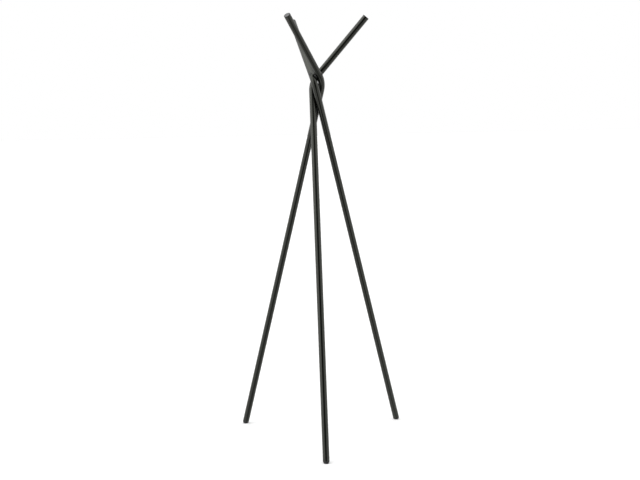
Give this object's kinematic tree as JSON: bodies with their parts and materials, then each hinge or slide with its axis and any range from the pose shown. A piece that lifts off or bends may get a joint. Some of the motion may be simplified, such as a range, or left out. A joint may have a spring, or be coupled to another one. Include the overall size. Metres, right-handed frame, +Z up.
{
  "type": "tripod coat stand",
  "caption": "Free-standing stand of bent round tubes that cross near the top: legs below, outward-sloping arms above that hold coats, hats and gear.",
  "frame": {"origin": "on the floor, on the stand's axis, at the centre of the circle through the feet", "axes": "+Z up along the stand's axis of threefold symmetry; the front tube's foot is on -Y; +X is to the right as seen from the front"},
  "size_m": [0.6563, 0.5719, 1.6598],
  "materials": {
    "tube_coating": "satin powder coat, greenish black",
    "cap_metal": "satin, turned face",
    "black_plastic": "fine moulded texture",
    "foot_rubber": "matt, slightly dusty",
    "fastener_steel": "bright zinc plating"
  },
  "bodies": {
    "root": {"front_tube": "tube_coating", "front_arm_cap": "cap_metal", "front_foot_plug": "black_plastic", "front_foot_pad": "foot_rubber", "right_tube": "tube_coating", "right_arm_cap": "cap_metal", "right_foot_plug": "black_plastic", "right_foot_pad": "foot_rubber", "left_tube": "tube_coating", "left_arm_cap": "cap_metal", "left_foot_plug": "black_plastic", "left_foot_pad": "foot_rubber", "front_right_joint_spacer": "black_plastic", "front_right_curved_washer": "fastener_steel", "front_right_cap_screw": "fastener_steel", "front_right_threaded_insert": "fastener_steel", "front_right_access_button": "black_plastic", "right_left_joint_spacer": "black_plastic", "right_left_curved_washer": "fastener_steel", "right_left_cap_screw": "fastener_steel", "right_left_threaded_insert": "fastener_steel", "right_left_access_button": "black_plastic", "left_front_joint_spacer": "black_plastic", "left_front_curved_washer": "fastener_steel", "left_front_cap_screw": "fastener_steel", "left_front_threaded_insert": "fastener_steel", "left_front_access_button": "black_plastic"}
  },
  "joints": []
}
